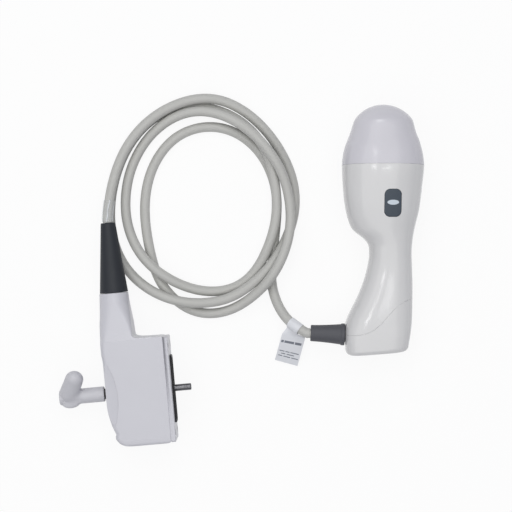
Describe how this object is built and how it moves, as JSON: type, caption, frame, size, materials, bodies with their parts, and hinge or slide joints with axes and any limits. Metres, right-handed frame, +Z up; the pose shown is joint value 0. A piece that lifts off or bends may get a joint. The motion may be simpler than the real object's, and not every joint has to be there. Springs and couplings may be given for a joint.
{
  "type": "motorised volume ultrasound transducer probe",
  "caption": "Hand-held ultrasound probe with a domed head, waisted grip with a button, coiled cable and a locking console connector.",
  "frame": {"origin": "on the table under the middle of the hand probe, which lies on its side", "axes": "+Y along the hand probe towards its domed head, +Z up from the table, +X to the right as pictured from above"},
  "size_m": [0.286, 0.2773, 0.0563],
  "materials": {
    "backing_block": "filled epoxy, matt",
    "black_plastic": "black moulded plastic",
    "body_plastic": "smooth off-white moulded plastic, satin gloss",
    "brass": "bare brass",
    "button_rubber": "soft matt dark slate",
    "cable_grey": "grey jacket, finely ribbed",
    "cast_aluminium": "machined, bare",
    "circuit_board": "green solder mask",
    "clear_film": "clear shrink film",
    "contact_grey": "grey insulator",
    "crystal": "fired, matt",
    "dome_plastic": "smooth pale grey moulded plastic, satin gloss",
    "flex_film": "amber film",
    "housing_plastic": "light grey moulded plastic, satin",
    "lens_rubber": "smooth grey silicone",
    "lever_plastic": "light grey moulded plastic, satin",
    "relief_dark": "matt dark grey elastomer",
    "relief_grey": "matt dark grey elastomer",
    "seal_rubber": "black elastomer",
    "steel": "bare steel",
    "tag_white": "white film, glossy"
  },
  "bodies": {
    "probe": {"array_flex": "flex_film", "array_yoke": "cast_aluminium", "axle_bearing_left": "steel", "axle_bearing_right": "steel", "base_shell": "body_plastic", "board_connector": "black_plastic", "board_pillar_1": "brass", "board_pillar_2": "brass", "body_shell": "body_plastic", "button_switch": "black_plastic", "cable": "cable_grey", "cable_tag": "tag_white", "chamber_bulkhead": "cast_aluminium", "chamber_seal": "seal_rubber", "connector_board": "circuit_board", "connector_cable": "cable_grey", "connector_housing": "housing_plastic", "connector_relief": "relief_dark", "contact_block": "contact_grey", "contact_shroud": "black_plastic", "dome_cap": "dome_plastic", "drive_motor": "steel", "feedthrough_block": "black_plastic", "fill_plug": "cast_aluminium", "film_sleeve": "clear_film", "frame_screw_1": "steel", "frame_screw_2": "steel", "frame_screw_3": "steel", "frame_screw_4": "steel", "front_frame": "housing_plastic", "inner_cable": "cable_grey", "motor_screw_1": "steel", "motor_screw_2": "steel", "probe_relief": "relief_grey", "shaft_bush": "brass", "signal_board": "circuit_board", "switch_board": "circuit_board", "yoke_screw_1": "steel", "yoke_screw_2": "steel"},
    "array": {"swing_axle": "steel", "array_carrier": "cast_aluminium", "array_backing": "backing_block", "crystal_strip": "crystal", "acoustic_lens": "lens_rubber", "swing_gear": "brass"},
    "pinion": {"drive_pinion": "brass", "motor_shaft": "steel"},
    "button": {"button_cap": "button_rubber"},
    "lock": {"lock_lever": "lever_plastic", "lock_shaft": "steel", "shaft_pin": "steel", "lever_collar": "steel", "retaining_ring": "steel"}
  },
  "joints": [
    {"name": "array_swing", "type": "hinge", "parent": "probe", "child": "array", "pos_m": [0.0127, 0.07078, 0.02924], "axis": [1, 0, 0], "range_deg": [-35, 35]},
    {"name": "pinion_turn", "type": "hinge", "parent": "probe", "child": "pinion", "pos_m": [0.0127, 0.0575, 0.0286], "axis": [1, 0, 0], "range_deg": [-90, 90]},
    {"name": "button_press", "type": "slide", "parent": "probe", "child": "button", "axis": [0, 0.0476, -0.9989], "range_m": [0, 0.0006], "stiffness_N_per_m": 2000, "springref_m": -0.0002},
    {"name": "lock_turn", "type": "hinge", "parent": "probe", "child": "lock", "pos_m": [-0.15036, -0.1237, 0.01905], "axis": [0.9962, 0.0872, 0], "range_deg": [0, 90]}
  ],
  "couplings": [
    {"joint": "pinion_turn", "follows": "array_swing", "ratio": -2.4545}
  ]
}
